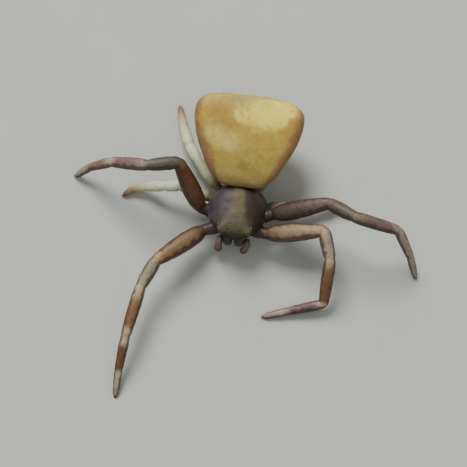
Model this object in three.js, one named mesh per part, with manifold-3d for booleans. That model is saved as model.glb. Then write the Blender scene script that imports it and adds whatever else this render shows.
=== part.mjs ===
// A female crab spider standing with its front legs spread, at life size, as a still model.
// Millimetres, +Z up. The spider looks along -Y, so its own left side is +X.
// The origin is on the floor, under the middle of the model's box.
import * as THREE from "three";
import { mergeVertices } from "three/addons/utils/BufferGeometryUtils.js";
import Module from "manifold-3d";

const wasm = await Module();
wasm.setup();

// Driving dimensions
const CARAPACE_WIDTH = 2.8;
const CARAPACE_LENGTH = 2.7;
const CARAPACE_TOP = 2.55;
const CARAPACE_BOTTOM = 1.32;
const ABDOMEN_WIDTH = 5.2;
const ABDOMEN_LENGTH = 3.8;
const ABDOMEN_BOTTOM = 0.85;
const ABDOMEN_FRONT = 1.19;
const GAP = 0.06;

// Smooth closed bodies
// A rounded block: the distance from its middle along a direction u is
// (sum over faces of max(0, normal.u / distance)^sharpness)^(-1 / sharpness).
function blockReach(faces, sharpness, u, grow) {
  let sum = 0;
  for (const face of faces) {
    const toward = face.normal.dot(u) / (face.distance + grow);
    sum += Math.max(0, toward) ** sharpness;
  }
  return sum ** (-1 / sharpness);
}

function face(x, y, z, distance) {
  return { normal: new THREE.Vector3(x, y, z).normalize(), distance };
}

// A ball of rings whose points are moved by shape(direction), which gives a place.
function ballGeometry(around, rings, shape) {
  const geometry = new THREE.SphereGeometry(1, around, rings);
  const position = geometry.attributes.position;
  const u = new THREE.Vector3();
  for (let i = 0; i < position.count; i++) {
    u.fromBufferAttribute(position, i).normalize();
    const place = shape(u);
    position.setXYZ(i, place.x, place.y, place.z);
  }
  return geometry;
}

function blockGeometry(block, around, rings, grow = 0) {
  return ballGeometry(around, rings, (u) => {
    const reach = blockReach(block.faces, block.sharpness, u, grow);
    const place = u.clone().multiplyScalar(reach);
    for (const bump of block.bumps || []) {
      const near = Math.exp((bump.toward.dot(u) - 1) / bump.spread);
      place.addScaledVector(bump.push, near);
    }
    return place.add(block.middle);
  });
}

// Solids for joining and cutting
function solidOf(geometry) {
  const bare = geometry.clone();
  bare.deleteAttribute("normal");
  bare.deleteAttribute("uv");
  const merged = mergeVertices(bare, 1e-4);
  return new wasm.Manifold(
    new wasm.Mesh({
      numProp: 3,
      vertProperties: merged.attributes.position.array,
      triVerts: new Uint32Array(merged.index.array),
    }),
  );
}

function largest(solid) {
  const pieces = solid.decompose();
  pieces.sort((a, b) => b.volume() - a.volume());
  return pieces[0];
}

function geometryOf(solid) {
  const mesh = largest(solid).getMesh();
  const geometry = new THREE.BufferGeometry();
  geometry.setAttribute("position", new THREE.BufferAttribute(mesh.vertProperties, 3));
  geometry.setIndex(new THREE.BufferAttribute(mesh.triVerts, 1));
  geometry.computeVertexNormals();
  return geometry;
}

// Tubes of round rings
// The rings lie square to the path, apart from the end rings, which lie in the given mitre
// planes, half the gap short of the joint, so that the next piece meets them face to face.
function tubeGeometry(path, radii, sides, startFacing, endFacing, floor = -Infinity) {
  const up = new THREE.Vector3(0, 0, 1);
  const points = [];
  path.forEach((centre, i) => {
    const before = path[Math.max(0, i - 1)];
    const after = path[Math.min(path.length - 1, i + 1)];
    const along = after.clone().sub(before).normalize();
    const across = along.clone().cross(up).normalize();
    const over = across.clone().cross(along);
    const facing = i === 0 ? startFacing : i === path.length - 1 ? endFacing : null;
    for (let k = 0; k < sides; k++) {
      const turn = (2 * Math.PI * k) / sides;
      const point = centre
        .clone()
        .addScaledVector(across, radii[i] * Math.cos(turn))
        .addScaledVector(over, radii[i] * Math.sin(turn));
      if (facing) {
        const inset = (i === 0 ? GAP : -GAP) / 2;
        const off = inset - point.clone().sub(centre).dot(facing);
        point.addScaledVector(along, off / along.dot(facing));
      }
      point.z = Math.max(point.z, floor);
      points.push(point);
    }
  });
  const ends = [0, path.length - 1].map((ring) => {
    const middle = new THREE.Vector3();
    for (let k = 0; k < sides; k++) middle.add(points[ring * sides + k]);
    return middle.divideScalar(sides);
  });
  points.push(...ends);
  const index = [];
  const first = path.length * sides;
  for (let i = 0; i < path.length - 1; i++)
    for (let k = 0; k < sides; k++) {
      const a = i * sides + k;
      const b = i * sides + ((k + 1) % sides);
      index.push(a, a + sides, b, b, a + sides, b + sides);
    }
  const last = (path.length - 1) * sides;
  for (let k = 0; k < sides; k++) {
    const next = (k + 1) % sides;
    index.push(first, k, next);
    index.push(first + 1, last + next, last + k);
  }
  const geometry = new THREE.BufferGeometry();
  const flat = new Float32Array(points.flatMap((p) => [p.x, p.y, p.z]));
  geometry.setAttribute("position", new THREE.BufferAttribute(flat, 3));
  geometry.setIndex(index);
  const solid = solidOf(geometry);
  if (solid.volume() < 0) {
    for (let i = 0; i < index.length; i += 3)
      [index[i + 1], index[i + 2]] = [index[i + 2], index[i + 1]];
    geometry.setIndex(index);
  }
  geometry.computeVertexNormals();
  return geometry;
}

// Points and radii along a straight stretch, from [share of its length, radius] pairs
function stretch(start, end, profile) {
  return {
    path: profile.map(([share]) => start.clone().lerp(end, share)),
    radii: profile.map(([, radius]) => radius),
  };
}

// Materials
function finish(colour, roughness) {
  return new THREE.MeshStandardMaterial({ color: colour, roughness, metalness: 0 });
}

const YELLOW = finish(0xc9a544, 0.45);
const CARAPACE_BROWN = finish(0x574a44, 0.4);
const LEG_BROWN = finish(0x8d6238, 0.45);
const LEG_PALE = finish(0xa89a82, 0.45);
const HIND_PALE = finish(0xbfc29a, 0.45);
const EYE_BLACK = finish(0x14100e, 0.15);

const spider = new THREE.Group();

function add(name, geometry, material) {
  const mesh = new THREE.Mesh(geometry, material);
  mesh.name = name;
  spider.add(mesh);
}

// The fore body: one domed shield above and one plate below
const halfWidth = CARAPACE_WIDTH / 2;
const halfLength = CARAPACE_LENGTH / 2;
const SHIELD_MIDDLE = 1.72;
const shield = {
  middle: new THREE.Vector3(0, 0, SHIELD_MIDDLE),
  sharpness: 7,
  faces: [
    face(0, 0, 1, CARAPACE_TOP - SHIELD_MIDDLE),
    face(0, 0, -1, SHIELD_MIDDLE - CARAPACE_BOTTOM),
    face(0, -1, 0.12, halfLength),
    face(0, 1, 0.55, halfLength * 0.93),
    ...[-1, 1].flatMap((side) => [
      face(side, 0.1, 0.35, halfWidth * 0.97),
      face(side * 0.85, -0.8, 0.1, halfWidth * 0.93),
      face(side * 0.75, 0.9, 0.4, halfWidth * 1.04),
      face(side * 0.6, 0, 0.9, halfWidth * 0.78),
    ]),
  ],
  // The two cones at the front corners that carry the side eyes
  bumps: [-1, 1].map((side) => ({
    toward: new THREE.Vector3(side * 0.5, -0.83, 0.42).normalize(),
    push: new THREE.Vector3(side * 0.13, -0.12, 0.1),
    spread: 0.018,
  })),
};

// Eyes in two rows of four: [name, sideways place, height, radius]
const EYES = [
  ["front_middle", 0.2, 2.12, 0.07],
  ["front_side", 0.72, 2.26, 0.1],
  ["back_middle", 0.28, 2.42, 0.07],
  ["back_side", 0.9, 2.36, 0.09],
];
const EYE_STAND_OUT = 0.35;

// The point of the shield's surface in a direction
function onShield(direction) {
  const u = direction.clone().normalize();
  const place = u.clone().multiplyScalar(blockReach(shield.faces, shield.sharpness, u, 0));
  for (const bump of shield.bumps)
    place.addScaledVector(bump.push, Math.exp((bump.toward.dot(u) - 1) / bump.spread));
  return place.add(shield.middle);
}

const eyes = EYES.flatMap(([row, sideways, height, radius]) =>
  [-1, 1].map((side) => {
    const reach = row.startsWith("front") ? 1.3 : 1.02;
    const outward = new THREE.Vector3(side * sideways, -reach, height - SHIELD_MIDDLE);
    const centre = onShield(outward);
    centre.addScaledVector(outward.normalize(), -radius * EYE_STAND_OUT);
    return { name: `eye_${row}_${side > 0 ? "left" : "right"}`, centre, radius };
  }),
);

function eyeGeometry(eye, grow) {
  return ballGeometry(10, 6, (u) =>
    u.clone().multiplyScalar(eye.radius + grow).add(eye.centre),
  );
}

let shieldSolid = solidOf(blockGeometry(shield, 32, 18));
for (const eye of eyes) {
  shieldSolid = shieldSolid.subtract(solidOf(eyeGeometry(eye, GAP / 2)));
  add(eye.name, eyeGeometry(eye, 0), EYE_BLACK);
}
add("carapace", geometryOf(shieldSolid), CARAPACE_BROWN);

const STERNUM_TOP = CARAPACE_BOTTOM - GAP;
const STERNUM_BOTTOM = 0.98;
const sternum = {
  middle: new THREE.Vector3(0, -0.02, (STERNUM_TOP + STERNUM_BOTTOM) / 2),
  sharpness: 8,
  faces: [
    face(0, 0, 1, (STERNUM_TOP - STERNUM_BOTTOM) / 2),
    face(0, 0, -1, (STERNUM_TOP - STERNUM_BOTTOM) / 2),
    face(0, -1, 0, 0.78),
    face(0, 1, 0, 0.8),
    ...[-1, 1].flatMap((side) => [
      face(side, -0.15, 0, 0.6),
      face(side * 0.8, 0.6, 0, 0.68),
    ]),
  ],
};
add("sternum", blockGeometry(sternum, 24, 10), CARAPACE_BROWN);

// The abdomen: a rounded wedge, narrow in front and widest at the two humps behind
const ABDOMEN_MIDDLE_HEIGHT = 2.2;
const beforeMiddle = ABDOMEN_LENGTH * 0.6;
const behindMiddle = ABDOMEN_LENGTH * 0.4;
const FLANK_LEAN = 0.48;
const abdomen = {
  middle: new THREE.Vector3(0, ABDOMEN_FRONT + beforeMiddle, ABDOMEN_MIDDLE_HEIGHT),
  sharpness: 7,
  faces: [
    face(0, -0.3, 1, 1.36),
    face(0, 0.12, -1, ABDOMEN_MIDDLE_HEIGHT - ABDOMEN_BOTTOM),
    face(0, -1, -0.75, beforeMiddle * 0.84),
    face(0, -0.75, 0.65, beforeMiddle * 0.95),
    face(0, 1, -0.05, behindMiddle * 1.18),
    face(0, 0.72, -0.7, behindMiddle * 0.98),
    ...[-1, 1].flatMap((side) => [
      face(side, -FLANK_LEAN, 0.1, ABDOMEN_WIDTH * 0.514),
      face(side, -FLANK_LEAN * 1.5, 0.1, ABDOMEN_WIDTH * 0.597),
      face(side, 0.05, 0, ABDOMEN_WIDTH * 0.564),
      face(side * 0.85, 0.75, 0.05, ABDOMEN_WIDTH * 0.57),
      face(side * 0.9, -0.3, -0.75, ABDOMEN_WIDTH * 0.31),
    ]),
  ],
  bumps: [-1, 1].map((side) => ({
    toward: new THREE.Vector3(side * 0.78, 0.5, 0.38).normalize(),
    push: new THREE.Vector3(side * 0.16, 0.02, 0.1),
    spread: 0.05,
  })),
};
add("abdomen", blockGeometry(abdomen, 44, 26), YELLOW);

// The waist, cut clear of the bodies that it joins
const PEDICEL_RADIUS = 0.27;
const PEDICEL_HEIGHT = 1.5;
const waist = tubeGeometry(
  [
    new THREE.Vector3(0, 0.9, PEDICEL_HEIGHT),
    new THREE.Vector3(0, 1.9, PEDICEL_HEIGHT + 0.1),
  ],
  [PEDICEL_RADIUS, PEDICEL_RADIUS],
  12,
  null,
  null,
);
const nearShield = solidOf(blockGeometry(shield, 36, 20, GAP));
const nearAbdomen = solidOf(blockGeometry(abdomen, 44, 26, GAP));
const nearSternum = solidOf(blockGeometry(sternum, 24, 10, GAP));
add(
  "pedicel",
  geometryOf(solidOf(waist).subtract(nearShield).subtract(nearAbdomen)),
  CARAPACE_BROWN,
);

// The spinnerets: a short blunt cone under the abdomen's hind end
const spinneretRoot = new THREE.Vector3(0, ABDOMEN_FRONT + ABDOMEN_LENGTH - 0.75, 1.25);
const spinneretTip = new THREE.Vector3(0, ABDOMEN_FRONT + ABDOMEN_LENGTH - 0.05, 0.92);
const cone = stretch(spinneretRoot, spinneretTip, [
  [0, 0.38],
  [0.6, 0.33],
  [0.85, 0.26],
  [1, 0.14],
]);
add(
  "spinnerets",
  geometryOf(
    solidOf(tubeGeometry(cone.path, cone.radii, 12, null, null)).subtract(nearAbdomen),
  ),
  LEG_PALE,
);

// Legs
// Headings count from straight ahead, towards the leg's own side; rises count up from level.
function direction(side, heading, rise) {
  const turn = THREE.MathUtils.degToRad(heading);
  const lift = THREE.MathUtils.degToRad(rise);
  return new THREE.Vector3(
    side * Math.sin(turn) * Math.cos(lift),
    -Math.cos(turn) * Math.cos(lift),
    Math.sin(lift),
  );
}

// Lengths in order: hip (coxa with trochanter), femur, patella, tibia, metatarsus, tarsus.
// Radii are the stoutest of the hip, femur and tibia, then the metatarsus and the foot's tip.
const KINDS = {
  1: { root: [0.5, -0.58], hip: 1.12, lengths: [2.9, 1.45, 2.5, 1.75, 1.3] },
  2: { root: [0.66, -0.12], hip: 1.22, lengths: [3.0, 1.5, 2.5, 1.75, 1.25] },
  3: { root: [0.62, 0.34], hip: 0.9, lengths: [1.6, 0.85, 1.1, 0.75, 0.58] },
  4: { root: [0.44, 0.72], hip: 0.88, lengths: [1.75, 0.88, 1.15, 0.8, 0.6] },
};
const FRONT_RADII = { root: 0.2, hip: 0.34, femur: 0.46, knee: 0.31, tibia: 0.31, shank: 0.25, toe: 0.1 };
const HIND_RADII = { root: 0.17, hip: 0.27, femur: 0.31, knee: 0.26, tibia: 0.27, shank: 0.23, toe: 0.09 };
const ROOT_HEIGHT = 1.2;

// Each leg's hip heading and rise, then headings of femur, patella, tibia, metatarsus and
// tarsus, and rises of the first three. The last two slope down to the floor.
const POSES = [
  { number: 1, side: -1, hip: [66, 8], headings: [46, 22, 9, 5, 0], rises: [10, -6, -8] },
  { number: 2, side: -1, hip: [98, 14], headings: [140, 75, 101, 89, 69], rises: [51, 5, -39] },
  { number: 3, side: -1, hip: [114, -4], headings: [101, 86, 93, 79, 51], rises: [12, -18, -38] },
  { number: 4, side: -1, hip: [128, 1], headings: [137, 144, 156, 163, 165], rises: [-3, -9, -16] },
  { number: 1, side: 1, hip: [78, 9], headings: [97, 19, -1, -72, -71], rises: [16, 0, -42] },
  { number: 2, side: 1, hip: [104, 18], headings: [102, 64, 88, 41, 28], rises: [28, 16, -26] },
  { number: 3, side: 1, hip: [111, -17], headings: [96, 119, 104, 70, 77], rises: [0, -5, -22] },
  { number: 4, side: 1, hip: [150, -14], headings: [164, 172, 188, 225, 240], rises: [-7, -8, -12] },
];

function mitre(before, after) {
  return before.clone().add(after).normalize();
}

function addLeg(pose) {
  const { number, side } = pose;
  const kind = KINDS[number];
  const radii = number <= 2 ? FRONT_RADII : HIND_RADII;
  const sides = number <= 2 ? 12 : 10;
  const name = `leg${number}_${side > 0 ? "left" : "right"}`;

  const root = new THREE.Vector3(side * kind.root[0], kind.root[1], ROOT_HEIGHT);
  const hipWay = direction(side, ...pose.hip);
  const joints = [root, root.clone().addScaledVector(hipWay, kind.hip)];
  pose.rises.forEach((rise, i) => {
    const way = direction(side, pose.headings[i], rise);
    joints.push(joints.at(-1).clone().addScaledVector(way, kind.lengths[i]));
  });
  // The foot's tip rests on the floor: its middle is a little less than its radius up
  const tipHeight = radii.toe * 0.8;
  const fall = joints.at(-1).z - tipHeight;
  const slope = -THREE.MathUtils.radToDeg(Math.asin(fall / (kind.lengths[3] + kind.lengths[4])));
  for (const i of [3, 4]) {
    const way = direction(side, pose.headings[i], slope);
    joints.push(joints.at(-1).clone().addScaledVector(way, kind.lengths[i]));
  }
  const ways = joints.slice(1).map((joint, i) => joint.clone().sub(joints[i]).normalize());

  const hip = stretch(joints[0], joints[1], [
    [0, radii.root],
    [0.35, radii.hip * 0.92],
    [0.62, radii.hip],
    [0.75, radii.hip * 0.9],
    [1, radii.hip * 0.86],
  ]);
  const hipEnd = mitre(ways[0], ways[1]);
  const hipSolid = solidOf(tubeGeometry(hip.path, hip.radii, sides, null, hipEnd));
  add(
    `${name}_coxa`,
    geometryOf(hipSolid.subtract(nearShield).subtract(nearSternum)),
    CARAPACE_BROWN,
  );

  const femur = stretch(joints[1], joints[2], [
    [0, radii.hip * 0.84],
    [0.14, radii.femur * 0.9],
    [0.35, radii.femur],
    [0.6, radii.femur * 0.94],
    [0.85, radii.femur * 0.76],
    [1, radii.knee * 0.96],
  ]);
  add(
    `${name}_femur`,
    tubeGeometry(femur.path, femur.radii, sides, hipEnd, mitre(ways[1], ways[2])),
    number <= 2 ? LEG_BROWN : HIND_PALE,
  );

  const patella = stretch(joints[2], joints[3], [
    [0, radii.knee * 0.96],
    [0.3, radii.knee * 1.08],
    [0.75, radii.knee * 1.02],
  ]);
  const tibia = stretch(joints[3], joints[4], [
    [0, radii.knee * 0.86],
    [0.2, radii.tibia],
    [0.6, radii.tibia * 0.97],
    [0.9, radii.tibia * 0.85],
    [1, radii.shank],
  ]);
  add(
    `${name}_tibia`,
    tubeGeometry(
      [...patella.path, ...tibia.path],
      [...patella.radii, ...tibia.radii],
      sides,
      mitre(ways[1], ways[2]),
      mitre(ways[3], ways[4]),
    ),
    number <= 2 ? LEG_PALE : HIND_PALE,
  );

  const shank = stretch(joints[4], joints[5], [
    [0, radii.shank * 0.96],
    [0.3, radii.shank],
    [1, radii.shank * 0.82],
  ]);
  add(
    `${name}_metatarsus`,
    tubeGeometry(shank.path, shank.radii, sides, mitre(ways[3], ways[4]), mitre(ways[4], ways[5])),
    number <= 2 ? LEG_BROWN : HIND_PALE,
  );

  const foot = stretch(joints[5], joints[6], [
    [0, radii.shank * 0.8],
    [0.4, radii.shank * 0.74],
    [0.8, radii.toe * 1.5],
    [1, radii.toe],
  ]);
  add(
    `${name}_tarsus`,
    tubeGeometry(foot.path, foot.radii, sides, mitre(ways[4], ways[5]), null, 0),
    number <= 2 ? LEG_PALE : HIND_PALE,
  );
}

POSES.forEach(addLeg);

// Mouth parts: two jaws under the face, each with its fang, and two feelers beside them
const JAW = { x: 0.29, y: -1.08, top: 1.76, bottom: 0.92, radius: 0.25 };
const PALP = { root: [0.6, -1.12, 1.14], lengths: [0.3, 0.2, 0.2, 0.3] };
const PALP_RADII = [0.16, 0.18, 0.17, 0.18, 0.19, 0.08];

// The same shape on the other side of the body
function mirrored(geometry) {
  const copy = geometry.clone().scale(-1, 1, 1);
  const index = copy.index.array;
  for (let i = 0; i < index.length; i += 3)
    [index[i + 1], index[i + 2]] = [index[i + 2], index[i + 1]];
  copy.computeVertexNormals();
  return copy;
}

const jawTop = new THREE.Vector3(-JAW.x, JAW.y, JAW.top);
const jawMiddle = new THREE.Vector3(-JAW.x, JAW.y - 0.3, 1.35);
const jawEnd = new THREE.Vector3(-JAW.x * 0.85, JAW.y - 0.26, JAW.bottom);
const jawPath = [jawTop, jawMiddle, jawEnd.clone().lerp(jawMiddle, 0.3), jawEnd];
const jawRadii = [0.8, 1, 0.9, 0.45].map((share) => share * JAW.radius);
const jaw = solidOf(tubeGeometry(jawPath, jawRadii, 12, null, null));
const rightJaw = geometryOf(jaw.subtract(nearShield));
add("chelicera_right", rightJaw, CARAPACE_BROWN);
add("chelicera_left", mirrored(rightJaw), CARAPACE_BROWN);

const PALP_POSES = {
  right: { side: -1, headings: [18, 6, 2, -4], rises: [-6, -52, -66, -72] },
  left: { side: 1, headings: [18, -22, -50, -60], rises: [-8, -48, -64, -70] },
};
for (const [own, pose] of Object.entries(PALP_POSES)) {
  const [x, y, z] = PALP.root;
  const path = [new THREE.Vector3(pose.side * x, y, z)];
  PALP.lengths.forEach((length, i) => {
    const way = direction(pose.side, pose.headings[i], pose.rises[i]);
    if (i === PALP.lengths.length - 1)
      path.push(path.at(-1).clone().addScaledVector(way, length * 0.55));
    path.push(path.at(-1).clone().addScaledVector(way, i < 3 ? length : length * 0.45));
  });
  const palp = solidOf(tubeGeometry(path, PALP_RADII, 10, null, null));
  add(`palp_${own}`, geometryOf(palp.subtract(nearShield).subtract(nearSternum)), LEG_BROWN);
}

// The origin goes under the middle of the model, at the floor
const box = new THREE.Box3().setFromObject(spider, true);
const middle = box.getCenter(new THREE.Vector3());
spider.position.set(-middle.x, -middle.y, -box.min.z);

export default spider;
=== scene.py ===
"""Looks for a life-size still model of a crab spider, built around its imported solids.

Lengths are worked out in millimetres in the animal's own frame: the spider looks along -Y,
its own left side is +X, and the floor is at height 0. mesh_object() turns them to metres.
"""

import math

import bpy
import numpy as np
from bpy.props import FloatProperty, FloatVectorProperty, IntProperty, PointerProperty
from mathutils import Matrix, Vector


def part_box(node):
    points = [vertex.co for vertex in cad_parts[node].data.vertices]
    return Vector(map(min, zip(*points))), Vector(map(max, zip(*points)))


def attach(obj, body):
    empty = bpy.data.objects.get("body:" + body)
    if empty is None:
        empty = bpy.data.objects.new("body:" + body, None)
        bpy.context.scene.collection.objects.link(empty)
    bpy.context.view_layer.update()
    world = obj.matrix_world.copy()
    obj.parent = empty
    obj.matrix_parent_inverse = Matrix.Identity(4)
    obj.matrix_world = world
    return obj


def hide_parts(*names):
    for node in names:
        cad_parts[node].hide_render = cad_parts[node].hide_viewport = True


bl_info = {
    "name": "Crab spider",
    "version": (1, 0, 0),
    "blender": (4, 5, 0),
    "location": "View3D > Sidebar > Crab spider",
    "description": "Builds the skin, hairs, eyes and claws of a crab spider and its stage",
    "category": "Object",
}

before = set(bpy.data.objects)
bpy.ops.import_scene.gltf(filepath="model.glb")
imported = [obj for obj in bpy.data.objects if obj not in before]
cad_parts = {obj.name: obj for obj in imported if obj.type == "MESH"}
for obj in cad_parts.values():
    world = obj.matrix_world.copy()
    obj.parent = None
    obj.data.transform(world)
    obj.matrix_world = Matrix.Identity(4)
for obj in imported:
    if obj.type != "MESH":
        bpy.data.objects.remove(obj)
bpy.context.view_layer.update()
MM = 0.001

# Driving dimensions, the same as the solids have
CARAPACE_WIDTH = 2.8
CARAPACE_LENGTH = 2.7
CARAPACE_TOP = 2.55
CARAPACE_BOTTOM = 1.32
SHIELD_MIDDLE = 1.72
ABDOMEN_WIDTH = 5.2
ABDOMEN_LENGTH = 3.8
ABDOMEN_BOTTOM = 0.85
ABDOMEN_FRONT = 1.19
ABDOMEN_MIDDLE_HEIGHT = 2.2
FLANK_LEAN = 0.48
STERNUM_TOP = 1.26
STERNUM_BOTTOM = 0.98
STERNUM_Y = -0.02
ROOT_HEIGHT = 1.2
HALF_SHIELD = CARAPACE_WIDTH / 2
BEFORE = ABDOMEN_LENGTH * 0.6
BEHIND = ABDOMEN_LENGTH * 0.4
ABDOMEN_MIDDLE_Y = ABDOMEN_FRONT + BEFORE
SIDES = {"right": -1, "left": 1}


# Arrays
def unit(vectors):
    """Each vector divided by its length."""
    vectors = np.asarray(vectors, float)
    return vectors / np.linalg.norm(vectors, axis=-1, keepdims=True)


def smooth(values, sigma):
    """Values along the first axis, averaged with a bell curve of sigma steps.

    Before and after the ends the row goes on point-mirrored, so that the ends stay put.
    """
    reach = int(3 * sigma) + 1
    steps = np.arange(-reach, reach + 1)
    bell = np.exp(-0.5 * (steps / sigma) ** 2)
    bell /= bell.sum()
    values = np.asarray(values, float)
    before = 2 * values[:1] - values[reach:0:-1]
    after = 2 * values[-1:] - values[-2 : -reach - 2 : -1]
    longer = np.concatenate([before, values, after])
    return np.stack([np.convolve(column, bell, "valid") for column in longer.T], axis=-1)


def step(low, high, values):
    """0 below low, 1 above high, and 3t^2 - 2t^3 between them."""
    t = np.clip((values - low) / (high - low), 0, 1)
    return t * t * (3 - 2 * t)


def wander(points, wave, seed):
    """A smooth field from -1 to 1: the mean of 12 sines along random directions."""
    chance = np.random.default_rng(seed)
    ways = unit(chance.normal(size=(12, 3))) * chance.uniform(0.7, 1.6, (12, 1))
    phases = chance.uniform(0, 2 * math.pi, 12)
    return np.sin(points @ ways.T * (2 * math.pi / wave) + phases).mean(axis=-1) * 2


# Meshes
def mesh_object(name, points, faces, marks):
    """A smooth mesh object from points in millimetres in the animal's frame.

    Each mark is a number for every point, kept as an attribute that a material can read."""
    mesh = bpy.data.meshes.new(name)
    mesh.from_pydata((points + SHIFT) * MM, [], faces)
    for mark, values in marks.items():
        layer = mesh.attributes.new(mark, "FLOAT", "POINT")
        layer.data.foreach_set("value", np.ascontiguousarray(values, np.float32))
    mesh.polygons.foreach_set("use_smooth", np.ones(len(mesh.polygons), bool))
    mesh.update()
    piece = bpy.data.objects.new(name, mesh)
    bpy.context.scene.collection.objects.link(piece)
    return piece


def mesh_from_skins(name, skins):
    """One object from skins, each a dict of a grid (rings, around, 3) and its marks.

    Each ring is joined to the next with quads and goes round to its own first point, and a
    triangle fan joins each end ring to its middle."""
    points, faces, marks = [], [], {mark: [] for mark in skins[0]["marks"]}
    start = 0
    for skin in skins:
        grid = skin["grid"]
        rings, around = grid.shape[:2]
        ids = start + np.arange(rings * around).reshape(rings, around)
        after = np.roll(ids, -1, axis=1)
        first = start + rings * around
        quads = np.stack([ids[:-1], after[:-1], after[1:], ids[1:]], -1).reshape(-1, 4)
        opening = np.stack([after[0], ids[0], np.full(around, first)], -1)
        closing = np.stack([ids[-1], after[-1], np.full(around, first + 1)], -1)
        faces += quads.tolist() + opening.tolist() + closing.tolist()
        ends = [grid[:1].mean(axis=1), grid[-1:].mean(axis=1)]
        points.append(np.concatenate([grid.reshape(-1, 3), *ends]))
        for mark, values in skin["marks"].items():
            marks[mark].append(np.append(values.ravel(), [values[0].mean(), values[-1].mean()]))
        start = first + 2
    whole = {mark: np.concatenate(parts) for mark, parts in marks.items()}
    return mesh_object(name, np.concatenate(points), faces, whole)


# Rounded blocks
def block(middle, sharpness, faces, bumps=()):
    """A rounded block: faces are rows of (normal x, y, z, distance from the middle)."""
    faces = np.array(faces, float)
    return {
        "middle": np.array(middle, float),
        "sharpness": sharpness,
        "normals": unit(faces[:, :3]) / faces[:, 3:],
        "bumps": [(unit(toward), np.array(push), spread) for toward, push, spread in bumps],
    }


def on_block(shape, u):
    """The block's surface along directions u: the distance from the middle is
    (sum over faces of max(0, normal.u / distance)^sharpness)^(-1 / sharpness), and each bump
    then pushes by exp((toward.u - 1) / spread)."""
    lift = np.maximum(0, u @ shape["normals"].T) ** shape["sharpness"]
    points = u * lift.sum(axis=-1, keepdims=True) ** (-1 / shape["sharpness"])
    for toward, push, spread in shape["bumps"]:
        points = points + np.exp((u @ toward - 1) / spread)[..., None] * push
    return points + shape["middle"]


def ball_directions(rings, around):
    """Unit vectors in rings from the front pole, -Y, to the hind pole, +Y."""
    polar = np.linspace(0, math.pi, rings)[1:-1, None]
    turn = np.linspace(0, 2 * math.pi, around, endpoint=False)[None]
    return np.stack(
        np.broadcast_arrays(
            np.sin(polar) * np.cos(turn), -np.cos(polar), np.sin(polar) * np.sin(turn)
        ),
        axis=-1,
    )


def outward(grid):
    """Unit normals of a grid, from the cross product of its two directions."""
    along = np.gradient(grid, axis=0)
    around = np.roll(grid, -1, axis=1) - np.roll(grid, 1, axis=1)
    normals = np.cross(around, along)
    lengths = np.linalg.norm(normals, axis=-1, keepdims=True)
    return normals / np.maximum(lengths, 1e-12)


def mirrored(rows):
    """Each face row (x, y, z, distance) once for each side."""
    return [(side * x, y, z, d) for side in (-1, 1) for x, y, z, d in rows]


SHIELD = block(
    (0, 0, SHIELD_MIDDLE),
    7,
    [
        (0, 0, 1, CARAPACE_TOP - SHIELD_MIDDLE),
        (0, 0, -1, SHIELD_MIDDLE - CARAPACE_BOTTOM),
        (0, -1, 0.12, CARAPACE_LENGTH / 2),
        (0, 1, 0.55, CARAPACE_LENGTH / 2 * 0.93),
    ]
    + mirrored(
        [
            (1, 0.1, 0.35, HALF_SHIELD * 0.97),
            (0.85, -0.8, 0.1, HALF_SHIELD * 0.93),
            (0.75, 0.9, 0.4, HALF_SHIELD * 1.04),
            (0.6, 0, 0.9, HALF_SHIELD * 0.78),
        ]
    ),
    [((side * 0.5, -0.83, 0.42), (side * 0.13, -0.12, 0.1), 0.018) for side in (-1, 1)],
)
STERNUM = block(
    (0, STERNUM_Y, (STERNUM_TOP + STERNUM_BOTTOM) / 2),
    8,
    [
        (0, 0, 1, (STERNUM_TOP - STERNUM_BOTTOM) / 2),
        (0, 0, -1, (STERNUM_TOP - STERNUM_BOTTOM) / 2),
        (0, -1, 0, 0.78),
        (0, 1, 0, 0.8),
    ]
    + mirrored([(1, -0.15, 0, 0.6), (0.8, 0.6, 0, 0.68)]),
)
ABDOMEN = block(
    (0, ABDOMEN_MIDDLE_Y, ABDOMEN_MIDDLE_HEIGHT),
    7,
    [
        (0, -0.3, 1, 1.36),
        (0, 0.12, -1, ABDOMEN_MIDDLE_HEIGHT - ABDOMEN_BOTTOM),
        (0, -1, -0.75, BEFORE * 0.84),
        (0, -0.75, 0.65, BEFORE * 0.95),
        (0, 1, -0.05, BEHIND * 1.18),
        (0, 0.72, -0.7, BEHIND * 0.98),
    ]
    + mirrored(
        [
            (1, -FLANK_LEAN, 0.1, ABDOMEN_WIDTH * 0.514),
            (1, -FLANK_LEAN * 1.5, 0.1, ABDOMEN_WIDTH * 0.597),
            (1, 0.05, 0, ABDOMEN_WIDTH * 0.564),
            (0.85, 0.75, 0.05, ABDOMEN_WIDTH * 0.57),
            (0.9, -0.3, -0.75, ABDOMEN_WIDTH * 0.31),
        ]
    ),
    [((side * 0.78, 0.5, 0.38), (side * 0.16, 0.02, 0.1), 0.05) for side in (-1, 1)],
)

# The frame's origin is under the middle of the whole model. The sternum's box says where the
# animal's own origin, under the middle of its shield, lies in it.
_low, _high = (np.array(corner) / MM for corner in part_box("sternum"))
_reach = on_block(STERNUM, np.array([0.0, 1.0, 0.0]))
SHIFT = np.array([(_low[0] + _high[0]) / 2, _high[1] - _reach[1], 0.0])


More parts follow.
